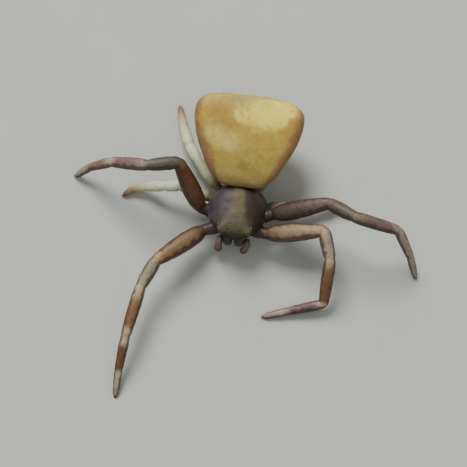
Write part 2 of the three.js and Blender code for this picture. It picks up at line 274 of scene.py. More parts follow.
# Legs
# Hip is coxa with trochanter. Lengths in order: femur, patella, tibia, metatarsus, tarsus.
KINDS = {
    1: {"root": (0.5, -0.58), "hip": 1.12, "lengths": (2.9, 1.45, 2.5, 1.75, 1.3)},
    2: {"root": (0.66, -0.12), "hip": 1.22, "lengths": (3.0, 1.5, 2.5, 1.75, 1.25)},
    3: {"root": (0.62, 0.34), "hip": 0.9, "lengths": (1.6, 0.85, 1.1, 0.75, 0.58)},
    4: {"root": (0.44, 0.72), "hip": 0.88, "lengths": (1.75, 0.88, 1.15, 0.8, 0.6)},
}
FRONT_RADII = {
    "root": 0.2, "hip": 0.34, "femur": 0.46, "knee": 0.31, "tibia": 0.31, "shank": 0.25,
    "toe": 0.1,
}
HIND_RADII = {
    "root": 0.17, "hip": 0.27, "femur": 0.31, "knee": 0.26, "tibia": 0.27, "shank": 0.23,
    "toe": 0.09,
}

# Hip (heading, rise), headings of the five segments after it, and rises of the first three.
# Headings count from straight ahead towards the leg's own side, rises up from level.
POSES = {
    (1, "right"): ((66, 8), (46, 22, 9, 5, 0), (10, -6, -8)),
    (2, "right"): ((98, 14), (140, 75, 101, 89, 69), (51, 5, -39)),
    (3, "right"): ((114, -4), (101, 86, 93, 79, 51), (12, -18, -38)),
    (4, "right"): ((128, 1), (137, 144, 156, 163, 165), (-3, -9, -16)),
    (1, "left"): ((78, 9), (97, 19, -1, -72, -71), (16, 0, -42)),
    (2, "left"): ((104, 18), (102, 64, 88, 41, 28), (28, 16, -26)),
    (3, "left"): ((111, -17), (96, 119, 104, 70, 77), (0, -5, -22)),
    (4, "left"): ((150, -14), (164, 172, 188, 225, 240), (-7, -8, -12)),
}


def leg_radii(number):
    """The radii of a leg: the first two pairs are the stout ones."""
    return FRONT_RADII if number <= 2 else HIND_RADII


def direction(side, heading, rise):
    """The unit vector for a heading and a rise in degrees, on the right (-1) or left (1)."""
    turn, lift = math.radians(heading), math.radians(rise)
    return np.array(
        [side * math.sin(turn) * math.cos(lift), -math.cos(turn) * math.cos(lift), math.sin(lift)]
    )


def leg_joints(number, own):
    """The seven joints of a leg, from its root to its foot's tip."""
    side = SIDES[own]
    kind = KINDS[number]
    hip, headings, rises = POSES[number, own]
    toe = leg_radii(number)["toe"]
    joints = [np.array([side * kind["root"][0], kind["root"][1], ROOT_HEIGHT])]
    joints.append(joints[-1] + direction(side, *hip) * kind["hip"])
    for heading, rise, length in zip(headings, rises, kind["lengths"]):
        joints.append(joints[-1] + direction(side, heading, rise) * length)
    fall = joints[-1][2] - toe * 0.8
    slope = -math.degrees(math.asin(fall / sum(kind["lengths"][3:])))
    for heading, length in zip(headings[3:], kind["lengths"][3:]):
        joints.append(joints[-1] + direction(side, heading, slope) * length)
    return np.array(joints)


def leg_profile(radii):
    """Radii along a leg as (segment + share of its length, radius)."""
    hip, femur, knee = radii["hip"], radii["femur"], radii["knee"]
    tibia, shank, toe = radii["tibia"], radii["shank"], radii["toe"]
    return [
        (0.0, radii["root"]), (0.35, hip * 0.92), (0.62, hip), (0.75, hip * 0.86),
        (1.0, hip * 0.84), (1.14, femur * 0.9), (1.35, femur), (1.6, femur * 0.94),
        (1.85, femur * 0.76), (2.0, knee * 0.94), (2.3, knee * 1.08), (2.75, knee * 1.02),
        (3.0, knee * 0.86),
        (3.2, tibia), (3.6, tibia * 0.97), (3.9, tibia * 0.85), (4.0, shank * 0.94),
        (4.3, shank), (4.9, shank * 0.84), (5.0, shank * 0.8),
        (5.4, shank * 0.74), (5.8, toe * 1.5), (6.0, toe),
    ]


def tube(joints, profile, rings, around, bend=0.1, pinch=0.08, floor=None, flatten=1.0):
    """A tube along joints, as (grid, along): along counts segments, with the share of each.

    The middle line is the joints' polyline, rounded by averaging over bend millimetres. The
    radius is the profile read at that share, less a bell-shaped pinch at each joint. Rings lie
    square to the line, and at both ends they shrink to a dome.
    """
    joints = np.asarray(joints)
    lengths = np.linalg.norm(np.diff(joints, axis=0), axis=1)
    travelled = np.concatenate([[0], np.cumsum(lengths)])
    at = np.linspace(0, travelled[-1], rings)
    spacing = at[1]
    line = np.stack([np.interp(at, travelled, axis) for axis in joints.T], -1)
    line = smooth(line, max(bend / spacing, 0.5))
    along = np.interp(at, travelled, np.arange(len(joints)))
    radius = np.interp(along, *np.array(profile).T)
    radius = smooth(radius[:, None], max(0.05 / spacing, 0.5))[:, 0]
    for joint in travelled[1:-1]:
        radius *= 1 - pinch * np.exp(-(((at - joint) / 0.07) ** 2))
    ahead = unit(np.gradient(line, axis=0))
    across = unit(np.cross(ahead, [0, 0, 1]))
    over = np.cross(across, ahead)
    for end, place in ((0, at), (-1, travelled[-1] - at)):
        dome = radius[end]
        radius = radius * np.sqrt(np.clip(1 - (1 - np.clip(place / dome, 0, 1)) ** 2, 0.0004, 1))
    turn = np.linspace(0, 2 * math.pi, around, endpoint=False)[None, :, None]
    spokes = across[:, None] * np.cos(turn) * flatten + over[:, None] * np.sin(turn)
    grid = line[:, None] + radius[:, None, None] * spokes
    if floor is not None:
        grid[..., 2] = np.maximum(grid[..., 2], floor)
    return grid, along


# Hairs
HAIR_SIDES = 3
BAKE_PATCH = 0.003
# Radii of bristles as multiples of a short hair's, and of claws and fangs in millimetres
SHIELD_BRISTLE = 1.3
LEG_BRISTLE = 2.6
CLAW_RADIUS = 0.026
FANG_RADIUS = 0.045


def hairs(name, roots, lean, lengths, width, droop=0.35):
    """Solid hairs, each a bent cone of three sides with a ring at its root, one halfway and a tip.

    roots come from scatter() or stand_at(). A hair leaves its root along normal + lean, and its
    tip bends on by droop of its length towards lean. Its marks are those of its root's place,
    so it takes the skin's colours there. The OFBake map gives each hair a patch of its own at
    its root's place on the skin's unwrap."""
    count = len(roots["points"])
    normals = roots["normals"]
    lengths = np.broadcast_to(lengths, (count,))[:, None]
    way = unit(normals + lean)
    aside = unit(np.cross(way, normals + [0.013, 0.021, 0.017]))
    other = np.cross(way, aside)
    turn = np.arange(HAIR_SIDES) * 2 * math.pi / HAIR_SIDES
    spokes = aside[:, None] * np.cos(turn)[:, None] + other[:, None] * np.sin(turn)[:, None]
    low = roots["points"] - normals * 0.01
    half = roots["points"] + way * lengths * 0.5
    tip = roots["points"] + (way + unit(lean + 1e-6) * droop * 0.5) * lengths
    rings = np.stack([low[:, None] + spokes * width, half[:, None] + spokes * width * 0.65], 1)
    points = np.concatenate([rings.reshape(count, -1, 3), tip[:, None]], axis=1)
    points[..., 2] = np.maximum(points[..., 2], 0.002)
    per_hair = points.shape[1]
    k = np.arange(HAIR_SIDES)
    after = (k + 1) % HAIR_SIDES
    top = np.full(HAIR_SIDES, 2 * HAIR_SIDES)
    faces = np.concatenate(
        [
            np.stack([k, after, after + HAIR_SIDES], -1),
            np.stack([k, after + HAIR_SIDES, k + HAIR_SIDES], -1),
            np.stack([k + HAIR_SIDES, after + HAIR_SIDES, top], -1),
            [[2, 1, 0]],
        ]
    )
    faces = (faces[None] + (np.arange(count) * per_hair)[:, None, None]).reshape(-1, 3)
    marks = {mark: np.repeat(values, per_hair) for mark, values in roots["marks"].items()}
    piece = mesh_object(name, points.reshape(-1, 3), faces.tolist(), marks)
    corners = np.empty(len(piece.data.loops), np.int32)
    piece.data.loops.foreach_get("vertex_index", corners)
    circle = np.stack([np.cos(turn), np.sin(turn)], -1) * BAKE_PATCH / 2
    patch = np.concatenate([circle, circle * 0.5, [[0, 0]]])
    spots = (roots["unwrap"][:, None] + patch[None]).reshape(-1, 2)
    bake = piece.data.uv_layers.new(name="OFBake")
    bake.data.foreach_set("uv", spots[corners].ravel())
    return piece


def pick(skin, i, j, s, t):
    """The skin's points, normals, marks and unwrap at ring i + s and spoke j + t, for arrays."""
    grid = skin["grid"]
    around = grid.shape[1]
    after = (j + 1) % around

    def between(values):
        """Values at i + s and j + t, weighed from the four grid points round that place."""
        a, b = (s, t) if values.ndim == 2 else (s[:, None], t[:, None])
        near = values[i, j] * (1 - b) + values[i, after] * b
        return near * (1 - a) + (values[i + 1, j] * (1 - b) + values[i + 1, after] * b) * a

    unwrap = np.stack([(i + s) / grid.shape[0], (j + t) / around], -1)
    return {
        "points": between(grid),
        "normals": unit(between(outward(grid))),
        "marks": {mark: between(values) for mark, values in skin["marks"].items()},
        "unwrap": unwrap * (1 - BAKE_PATCH) + BAKE_PATCH / 2,
    }


def scatter(skin, count, chance, keep):
    """Random roots on a skin, evenly over its area times keep, a number for each grid point."""
    grid = skin["grid"]
    wide = np.linalg.norm(np.roll(grid, -1, axis=1) - grid, axis=-1)[:-1]
    deep = np.linalg.norm(grid[1:] - grid[:-1], axis=-1)
    weight = wide * deep * keep[:-1]
    cells = chance.choice(weight.size, count, p=(weight / weight.sum()).ravel())
    i, j = np.unravel_index(cells, weight.shape)
    return pick(skin, i, j, *chance.random((2, count)))


def stand_at(skin, along, turns):
    """Roots at chosen places: along in the skin's own count, turns from 0 to 1 round it."""
    rings, around = skin["grid"].shape[:2]
    ring = np.interp(along, skin["along"], np.arange(rings))
    spoke = np.mod(turns, 1) * around
    i = np.minimum(ring.astype(int), rings - 2)
    j = spoke.astype(int) % around
    return pick(skin, i, j, ring - i, spoke - spoke.astype(int))


# Colours and materials
def linear(colour):
    """An sRGB hex value as linear red, green and blue."""
    parts = [int(colour[i : i + 2], 16) / 255 for i in (1, 3, 5)]
    return tuple(c / 12.92 if c <= 0.04045 else ((c + 0.055) / 1.055) ** 2.4 for c in parts)


def opaque(colour):
    """A hex value or a linear colour as red, green, blue and full alpha."""
    return (*(linear(colour) if isinstance(colour, str) else colour), 1.0)


def add_node(tree, kind, inputs=None, stops=None, **settings):
    """Adds a node with its settings. An input is a value, or the socket that feeds it, and
    stops are the places and colours of a colour ramp."""
    node = tree.nodes.new(kind)
    for key, value in settings.items():
        setattr(node, key, value)
    for key, value in (inputs or {}).items():
        if isinstance(value, bpy.types.NodeSocket):
            tree.links.new(value, node.inputs[key])
        else:
            node.inputs[key].default_value = value
    for number, (place, colour) in enumerate(stops or []):
        elements = node.color_ramp.elements
        element = elements[number] if number < 2 else elements.new(place)
        element.position = place
        element.color = opaque(colour)
    return node


def cuticle(name, ground, coats=(), lumps=(0.3, 0.035), specks=(), **looks):
    """A spider's cuticle: a pigmented skin with a satin wax bloom and fine lumps in it.

    ground is one colour, or a mark and the colours along it. Each coat (mark, strength, colour)
    is laid over the last one where its mark says, and each speck (low, high, strength, colour)
    where the lumps' height goes from low to high. lumps are their width and height in
    millimetres. looks are values of the shader's own sockets."""
    material = bpy.data.materials.new(name)
    material.use_nodes = True
    tree = material.node_tree
    tree.nodes.clear()
    width, height = lumps
    place = add_node(tree, "ShaderNodeTexCoord").outputs["Object"]
    inputs = {"Vector": place, "Scale": 1 / (width * MM), "Detail": 4.0, "Roughness": 0.6}
    mottle = add_node(tree, "ShaderNodeTexNoise", inputs).outputs["Fac"]
    inputs = {"Vector": place, "Scale": 5 / (width * MM), "Detail": 1.0}
    grain = add_node(tree, "ShaderNodeTexNoise", inputs).outputs["Fac"]
    if isinstance(ground, tuple):
        mark, stops = ground
        share = add_node(tree, "ShaderNodeAttribute", attribute_name=mark).outputs["Fac"]
        colour = add_node(tree, "ShaderNodeValToRGB", {"Fac": share}, stops).outputs["Color"]
    else:
        colour = add_node(tree, "ShaderNodeRGB")
        colour.outputs[0].default_value = opaque(ground)
        colour = colour.outputs[0]
    layers = []
    for mark, strength, paint in coats:
        share = add_node(tree, "ShaderNodeAttribute", attribute_name=mark).outputs["Fac"]
        inputs = {"Value": share, "To Max": strength}
        layers.append((inputs, paint))
    for low, high, strength, paint in specks:
        inputs = {"Value": mottle, "From Min": low, "From Max": high, "To Max": strength}
        layers.append((inputs, paint))
    for inputs, paint in layers:
        share = add_node(tree, "ShaderNodeMapRange", inputs, interpolation_type="SMOOTHSTEP")
        inputs = {0: share.outputs["Result"], 6: colour, 7: opaque(paint)}
        colour = add_node(tree, "ShaderNodeMix", inputs, data_type="RGBA").outputs[2]
    shader = add_node(tree, "ShaderNodeBsdfPrincipled", {"Base Color": colour})
    for socket, value in looks.items():
        shader.inputs[socket.replace("_", " ")].default_value = value
    inputs = {0: grain, 1: 0.4, 2: mottle}
    raised = add_node(tree, "ShaderNodeMath", inputs, operation="MULTIPLY_ADD").outputs[0]
    inputs = {"Height": raised, "Strength": 1.0, "Distance": height * MM}
    bump = add_node(tree, "ShaderNodeBump", inputs)
    tree.links.new(bump.outputs["Normal"], shader.inputs["Normal"])
    output = add_node(tree, "ShaderNodeOutputMaterial")
    tree.links.new(shader.outputs["BSDF"], output.inputs["Surface"])
    return material


def soft_abdomen_cuticle(colours):
    """Thin cuticle stretched over yellow pigment: satin, slightly see-through and wrinkled.

    Its folds are about 0.2 mm apart, as on a well-fed female."""
    # The ramp darkens towards the front of the abdomen: painted shade where the back slopes down away
    # from the light.
    along = [
        (0.0, "#947E4A"), (0.05, "#9C8748"), (0.12, "#A38E46"), (0.3, "#A28C3A"),
        (0.5, "#AB923C"), (0.68, "#B2963A"), (0.8, "#BEA042"), (0.95, "#C6AC54"), (1.0, "#AE9850"),
    ]
    return cuticle(
        "soft_abdomen_cuticle",
        ("Hind", along),
        [
            ("Cloud", 0.3, "#C6AC58"),
            ("Pale", 0.75, "#D0BA66"),
            ("Ochre", 0.75, "#B0873A"),
            # Painted highlight: the lit ridge and rear slope over the humps, in pale yellow.
            ("RidgeHighlight", 0.95, colours.abdomen_highlight),
            ("FrontShade", 0.6, "#7A662A"),
            # Painted shade on the front slope of the abdomen, by the waist.
            ("Flank", 0.9, colours.flank_brown),
            ("Belly", 0.75, "#A39065"),
        ],
        (0.24, 0.03),
        [(0.54, 0.74, 0.14, "#E4D48C"), (0.48, 0.3, 0.3, "#7A6228")],
        Roughness=0.55, IOR=1.5, Specular_IOR_Level=0.3, Coat_Weight=0.06, Coat_Roughness=0.4,
        Subsurface_Weight=0.12, Subsurface_Scale=0.12 * MM, Subsurface_Radius=(1.0, 0.9, 0.5),
    )


def hard_shield_cuticle(colours):
    """Thick tanned cuticle of the fore body: dark, satin and finely granular, grains 0.1 mm."""
    along = [(0.0, "#352A20"), (0.4, "#30221C"), (0.88, "#2F221A"), (1.0, "#5C4A28")]
    return cuticle(
        "hard_shield_cuticle",
        ("Waist", along),
        [
            # Painted light: a lighter purple-grey over the shield's right side, which faces the key
            # light.
            ("Bloom", 0.6, "#564C54"),
            ("Band", 0.76, colours.shield_band),
            ("Head", 0.75, "#453A26"),
            ("Tubercle", 0.5, "#776A4C"),
            # Painted highlight: a yellow-olive line along the lit upper front edge.
            ("Rim", 0.7, "#6A5A26"),
            # Painted shadow: the dark face under the front edge, which lies in its own shade.
            ("Edge", 0.9, "#191309"),
        ],
        (0.11, 0.02),
        [(0.54, 0.74, 0.16, "#7E7264"), (0.48, 0.3, 0.35, "#231916")],
        Roughness=0.5, IOR=1.54, Specular_IOR_Level=0.3, Coat_Weight=0.08, Coat_Roughness=0.35,
    )


def hard_leg_cuticle(name, along, under, edge, dark, glow=0.04):
    """Tanned leg cuticle: satin and finely granular, banded along the leg, darker below and on
    its edges. along counts segments, of which a leg has six."""
    return cuticle(
        name,
        ("Along", [(place / 6, colour) for place, colour in along]),
        # Under paints shade on the legs' undersides; Edge darkens two lines along the upper face.
        [("Under", under, dark), ("Edge", edge, dark)],
        (0.13, 0.014),
        [(0.55, 0.75, 0.1, "#CBB893"), (0.5, 0.3, 0.5, dark)],
        Roughness=0.5, IOR=1.54, Specular_IOR_Level=0.3, Coat_Weight=0.06, Coat_Roughness=0.35,
        Subsurface_Weight=glow, Subsurface_Scale=0.1 * MM, Subsurface_Radius=(1.0, 0.9, 0.6),
    )


def clear_eye_lens(colours):
    """A single-lens eye: smooth clear cuticle over black pigment, like polished black glass."""
    return cuticle(
        "clear_eye_lens", colours.eye_black, (), (0.06, 0.0004), [(0.5, 0.8, 0.5, "#2C2018")],
        Roughness=0.08, IOR=1.56, Coat_Weight=0.6, Coat_Roughness=0.04,
    )


def dark_claw_cuticle():
    """The thickest, darkest cuticle, on claws and fangs: brown-black and glossy."""
    return cuticle(
        "dark_claw_cuticle", "#1D130E", (), (0.05, 0.002), [(0.5, 0.75, 0.5, "#4A2C1A")],
        Roughness=0.25, IOR=1.56,
    )


def matt_coated_board(colours):
    """The stage's floor: matt coated board, pale grey, with a faint cloudiness 6 mm wide."""
    return cuticle(
        "matt_coated_board", colours.floor_grey, (), (6.0, 0.01), [(0.35, 0.7, 0.25, "#A9A8A0")],
        Roughness=0.85, IOR=1.45,
    )


# Pieces
def finish(piece, material, slot, *nodes):
    """Gives a piece its material and its body, and hides the nodes that it stands for. slot is not
    used.
    """
    piece.data.materials.append(material)
    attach(piece, "root")
    if nodes:
        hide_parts(*nodes)
    return piece


def spot(points, middle, reach):
    """1 at the middle, and a bell curve that is exp(-1) at reach away."""
    return np.exp(-(((points - middle) ** 2).sum(axis=-1)) / reach**2)


# Pairs of dimples on the abdomen's back: sideways place, place along the body, radius
DORSAL_DIMPLES = (
    (0.42, 2.15, 0.16), (0.62, 2.75, 0.2), (0.72, 3.4, 0.2), (0.5, 4.0, 0.16), (0.16, 2.5, 0.12),
)


def abdomen_skin(rings=150, around=220):
    """The abdomen's block, with folds across the flanks, pairs of dimples where muscles hold
    the skin, a hollow between the humps and a soft unevenness, each along the normal."""
    grid = on_block(ABDOMEN, ball_directions(rings, around))
    normals = outward(grid)
    x, y, z = np.moveaxis(grid, -1, 0)
    upper = step(0.3, 0.8, normals[..., 2])
    dimples = sum(
        np.exp(-(((abs(x) - dx) ** 2 + (y - dy) ** 2) / size**2)) for dx, dy, size in DORSAL_DIMPLES
    )
    folds = np.sin((y * 0.8 - z * 1.6 + 0.25 * wander(grid, 1.6, 3)) * 2 * math.pi / 0.42)
    flank = 1 - step(0.1, 0.6, abs(normals[..., 2]))
    hollow = np.exp(-((x / 0.9) ** 2)) * step(3.6, 4.6, y) * upper
    lift = 0.012 * folds * flank * (0.6 + 0.4 * wander(grid, 1.1, 5)) + 0.018 * wander(grid, 0.9, 1)
    lift += -0.035 * upper * dimples - 0.05 * hollow - 0.03
    uneven = wander(grid, 1.3, 11)
    fine = wander(grid, 0.45, 12)
    # Hind counts along the body, and its colour ramp paints shade towards the front.
    hind = (y - ABDOMEN_FRONT) / ABDOMEN_LENGTH + 0.02 * uneven
    shoulder = np.minimum(1.24 + 0.45 * (y - 1.8), 2.2)
    inward = abs(x) / shoulder + 0.05 * uneven + 0.04 * fine
    below = ABDOMEN_MIDDLE_HEIGHT + 1.45 + 0.3 * (y - ABDOMEN_MIDDLE_Y) - z
    # Painted highlight along the lit ridge over the humps, weaker behind them.
    bright = 1.25 * spot(grid, (1.6, 4.55, 3.95), 0.75) + spot(grid, (0.5, 4.45, 3.9), 0.7)
    bright += 0.75 * spot(grid, (-0.55, 4.2, 3.85), 0.42)
    bright += 0.45 * spot(grid, (-1.5, 4.75, 4.0), 0.5)
    behind_humps = step(5.05, 5.3, y)
    ochre = spot(grid, (-1.5, 4.3, 3.85), 0.62) + 0.8 * spot(grid, (-0.85, 3.72, 3.7), 0.42)
    ochre += spot(grid, (2.3, 4.05, 3.7), 0.5) + 0.7 * spot(grid, (2.05, 3.5, 3.55), 0.5)
    light = 1.1 * spot(grid, (-1.55, 3.3, 3.55), 0.6) + 0.8 * spot(grid, (-0.7, 2.95, 3.5), 0.6)
    marks = {
        "Hind": np.clip(hind, 0, 1),
        "RidgeHighlight": np.clip(
            bright * (1 + 0.35 * fine) * (1 - 0.8 * behind_humps) - 0.7 * ochre, 0, 1
        ),
        "Ochre": np.clip(ochre * (1 + 0.3 * fine), 0, 1),
        "Pale": np.clip(light * (1 + 0.3 * fine), 0, 1),
        "Cloud": step(0.1, 1.0, wander(grid, 0.75, 14) + 0.4 * fine),
        # Painted shade on the front slope of the abdomen, by the waist.
        "FrontShade": spot(grid, (0.0, 1.9, 3.1), 0.36) + 0.5 * spot(grid, (0.75, 1.75, 3.0), 0.4),
        "Flank": np.maximum(step(0.94, 1.22, inward), step(0.25, 1.0, below)),
        "Belly": step(1.5, 2.3, below),
    }
    return {"grid": grid + normals * lift[..., None], "marks": marks}


def shield_skin(rings=110, around=160):
    """The shield's block, with a short groove behind the middle, faint furrows from it towards
    the legs, a furrow on either side of the head and a soft unevenness, along the normal."""
    grid = on_block(SHIELD, ball_directions(rings, around))
    normals = outward(grid)
    x, y, z = np.moveaxis(grid, -1, 0)
    upper = step(0.2, 0.7, normals[..., 2])
    groove = np.exp(-((x / 0.05) ** 2) - ((y - 0.3) / 0.22) ** 2)
    bearing = np.arctan2(y - 0.3, abs(x) + 1e-6)
    away = np.hypot(x, y - 0.3)
    furrows = np.cos(bearing * 9) ** 8 * step(0.25, 0.6, away) * (1 - step(0.9, 1.5, away))
    head = np.exp(-(((abs(x) - 0.42 + 0.32 * y) / 0.07) ** 2))
    head *= (1 - step(-0.1, 0.3, y)) * step(-1.1, -0.7, y)
    lift = -0.05 * groove * upper - 0.02 * (furrows + head) * upper + 0.012 * wander(grid, 0.6, 9)
    uneven = wander(grid, 0.7, 4)
    half = np.maximum(0.3, 0.36 - 0.24 * y)
    high = step(1.9, 2.3, z)
    marks = {
        "Waist": np.clip(y / CARAPACE_LENGTH + 0.5, 0, 1),
        # Painted light on the shield's right side, towards the key light.
        "Bloom": (1 - step(-1.0, 0.2, x + 0.25 * uneven)) * (0.7 + 0.3 * uneven),
        "Band": (1 - step(0.35, 1.6, abs(x) / half + 0.25 * uneven)) * high,
        "Head": step(0.2, 0.9, -y) * high,
        "Tubercle": sum(spot(grid, toward, 0.26) for toward in EYE_CONES),
        # Painted highlight along the lit upper front edge.
        "Rim": step(0.9, 1.12, -y + 0.1 * uneven) * step(1.9, 2.1, z) * (0.6 + 0.4 * uneven),
        # Edge here paints the shadow on the face below the front edge.
        "Edge": step(1.14, 1.26, -y + 0.04 * uneven) * (1 - step(2.25, 2.45, z)),
    }
    return {"grid": grid + normals * (lift - 0.012)[..., None], "marks": marks}


def plain_marks(grid, value=0.0):
    """The shield's marks for small pieces of the same cuticle, all of one strength."""
    names = ("Waist", "Bloom", "Band", "Head", "Tubercle", "Rim", "Edge")
    return {name: np.full(grid.shape[:2], value) for name in names}


def sternum_skin():
    """The breast plate's block with a soft unevenness."""
    grid = on_block(STERNUM, ball_directions(50, 72))
    grid = grid + outward(grid) * (0.01 * wander(grid, 0.4, 2) - 0.005)[..., None]
    return {"grid": grid, "marks": plain_marks(grid)}


# Eyes in two rows of four: name, sideways place, height, radius
EYES = (
    ("front_middle", 0.2, 2.12, 0.07),
    ("front_side", 0.72, 2.26, 0.1),
    ("back_middle", 0.28, 2.42, 0.07),
    ("back_side", 0.9, 2.36, 0.09),
)
EYE_STAND_OUT = 0.35
EYE_CONES = [on_block(SHIELD, unit([side * 0.5, -0.83, 0.42])) for side in SIDES.values()]


def eye_places():
    """Each eye's name, middle and radius."""
    for row, sideways, height, radius in EYES:
        for own, side in SIDES.items():
            reach = 1.3 if row.startswith("front") else 1.02
            way = unit([side * sideways, -reach, height - SHIELD_MIDDLE])
            yield f"{row}_{own}", on_block(SHIELD, way) - way * radius * EYE_STAND_OUT, radius


def leg_skin(number, own):
    """One leg from its coxa to its foot, with marks that count segments along it, tell its
    underside, and tell the two edges on either side of its upper face."""
    rings, around = (320, 32) if number <= 2 else (220, 28)
    joints = leg_joints(number, own)
    grid, along = tube(joints, leg_profile(leg_radii(number)), rings, around, floor=0.0)
    return marked_limb(grid, along)


def marked_limb(grid, along):
    """A limb's skin from its tube, with its marks and a soft unevenness along the normal."""
    upward = np.sin(np.linspace(0, 2 * math.pi, grid.shape[1], endpoint=False))[None]
    uneven = wander(grid, 0.5, 6)
    upward = upward + 0.16 * uneven
    marks = {
        "Along": np.clip((along[:, None] + 0.06 * uneven) / 6, 0, 1),
        # Under marks the underside, which the leg cuticles darken as painted shade.
        "Under": 1 - step(-0.1, 0.95, upward),
        "Edge": np.exp(-(((upward - 0.6) / 0.2) ** 2)),
    }
    lifted = grid + outward(grid) * (0.008 * wander(grid, 0.35, 8))[..., None]
    lifted[..., 2] = np.maximum(lifted[..., 2], 0)
    return {"grid": lifted, "marks": marks, "along": along}


LEG_SEGMENTS = ("coxa", "femur", "tibia", "metatarsus", "tarsus")

# Bands along each leg: segments from the root (coxa and trochanter, femur, patella, tibia,
# metatarsus, tarsus) and the colour there
# The two sides' tables are not alike: besides the bands, they paint each side's light and shade.
LEG_BANDS = {
    (1, "right"): (
        (0.0, "#332730"), (0.95, "#3C2E32"), (1.1, "#5A4430"), (1.3, "#735839"), (1.86, "#7E633F"),
        (1.98, "#AA8C60"), (2.1, "#847C68"), (2.5, "#8C826B"), (2.92, "#A09478"), (3.05, "#B5A480"),
        (3.2, "#9A8464"), (3.36, "#7C573A"), (3.74, "#765437"), (3.92, "#A89470"), (4.16, "#B8AA8E"),
        (4.36, "#684830"), (4.85, "#62442E"), (5.02, "#8E7E68"), (5.2, "#A89E8C"), (6.0, "#8A8072"),
    ),
    (1, "left"): (
        (0.0, "#2E2424"), (0.95, "#40302A"), (1.1, "#6C5540"), (1.4, "#8E7558"), (1.8, "#9C8468"),
        (1.98, "#A68B62"), (2.15, "#978A6E"), (2.5, "#807461"), (2.85, "#8E846E"), (3.02, "#B3A07E"),
        (3.2, "#86603C"), (3.5, "#7E5430"), (3.85, "#7C522E"), (3.98, "#BCA98C"), (4.15, "#98806C"),
        (4.35, "#6B5048"), (4.85, "#6B5048"), (5.02, "#94806F"), (5.3, "#A69484"), (6.0, "#8A7868"),
    ),
    (2, "right"): (
        (0.0, "#332A30"), (0.95, "#3A2C28"), (1.15, "#5A3A24"), (1.5, "#68442A"), (1.85, "#66321E"),
        (1.98, "#5C4C36"), (2.12, "#4E4A3C"), (2.5, "#56503F"), (2.92, "#5E5244"), (3.05, "#9A8A76"),
        (3.25, "#7E625A"), (3.75, "#765850"), (3.97, "#B4A28E"), (4.12, "#9A8574"), (4.3, "#7A5A4C"),
        (4.85, "#826456"), (5.05, "#928272"), (5.4, "#9A8C7E"), (6.0, "#84786A"),
    ),
    (2, "left"): (
        (0.0, "#2E2424"), (0.95, "#34282A"), (1.15, "#4C3A30"), (1.6, "#56443A"), (1.98, "#6E5A4C"),
        (2.2, "#584A3E"), (2.85, "#5C4E3F"), (3.02, "#84725F"), (3.25, "#70584F"), (3.8, "#6E564C"),
        (3.98, "#A49483"), (4.2, "#9A897C"), (4.8, "#988779"), (5.1, "#9A8C7E"), (6.0, "#8A7E70"),
    ),
}
HIND_BANDS = (
    (0.0, "#46383A"), (0.85, "#5A4A40"), (1.1, "#787456"), (1.4, "#B4B890"), (1.95, "#B8BC94"),
    (2.1, "#CDD3AE"), (3.0, "#D2D8B6"), (3.9, "#C4C69E"), (4.2, "#BDB68E"), (4.8, "#A58E68"),
    (5.2, "#98785A"), (6.0, "#6A5040"),
)
PALP_BANDS = (
    (0.0, "#4E3C3C"), (1.0, "#6E5A50"), (2.0, "#7A665A"), (3.2, "#80665A"), (4.5, "#6E5048"),
    (6.0, "#4E3834"),
)

# Stout bristles: segment + share along the leg, and turn round it (0 front, 0.25 top)
FEMUR_BRISTLES = [(share, turn) for share in (1.25, 1.4, 1.55, 1.7) for turn in (0.08, 0.42)]
SHIN_BRISTLES = [
    (share, turn)
    for share in (3.3, 3.45, 3.6, 3.75, 3.88, 4.15, 4.35, 4.55, 4.75, 4.9)
    for turn in (-0.14, -0.36)
]


def ahead_of(skin, roots):
    """The direction along a limb, towards its foot, at each root."""
    line = skin["grid"].mean(axis=1)
    way = unit(np.gradient(line, axis=0))
    near = ((roots["points"][:, None] - line[None]) ** 2).sum(axis=-1).argmin(axis=1)
    return way[near]


def limb_coat(name, skin, count, length, width, seed, material, slot, keep=None):
    """Short hairs that lean towards the foot."""
    chance = np.random.default_rng(seed)
    keep = np.ones(skin["grid"].shape[:2]) if keep is None else keep
    roots = scatter(skin, count, chance, keep)
    sizes = length * chance.uniform(0.6, 1.3, count)
    lean = ahead_of(skin, roots) * 1.3 + chance.normal(scale=0.2, size=(count, 3))
    return finish(hairs(name, roots, lean, sizes, width), material, slot)


# The feelers: root, and lengths and radii of their parts
PALP_ROOT = (0.6, -1.12, 1.14)
PALP_LENGTHS = (0.3, 0.2, 0.2, 0.3)
PALP_RADII = (0.16, 0.18, 0.17, 0.18, 0.19, 0.08)
PALP_POSES = {
    "right": ((18, 6, 2, -4), (-6, -52, -66, -72)),
    "left": ((18, -22, -50, -60), (-8, -48, -64, -70)),
}
JAW = {"x": 0.29, "y": -1.08, "top": 1.76, "bottom": 0.92, "radius": 0.25}


def palp_skin(own):
    """A feeler: a tube along its parts, pinched at each joint, with a blunt tip."""
    side = SIDES[own]
    headings, rises = PALP_POSES[own]
    joints = [np.array([side * PALP_ROOT[0], PALP_ROOT[1], PALP_ROOT[2]])]
    for heading, rise, length in zip(headings, rises, PALP_LENGTHS):
        joints.append(joints[-1] + direction(side, heading, rise) * length)
    last = PALP_RADII[4]
    profile = [*enumerate(PALP_RADII[:4]), (3.55, last), (3.85, last * 0.7), (4.0, last * 0.45)]
    grid, along = tube(joints, profile, 110, 24, bend=0.05, pinch=0.1)
    return marked_limb(grid, along * 1.5)


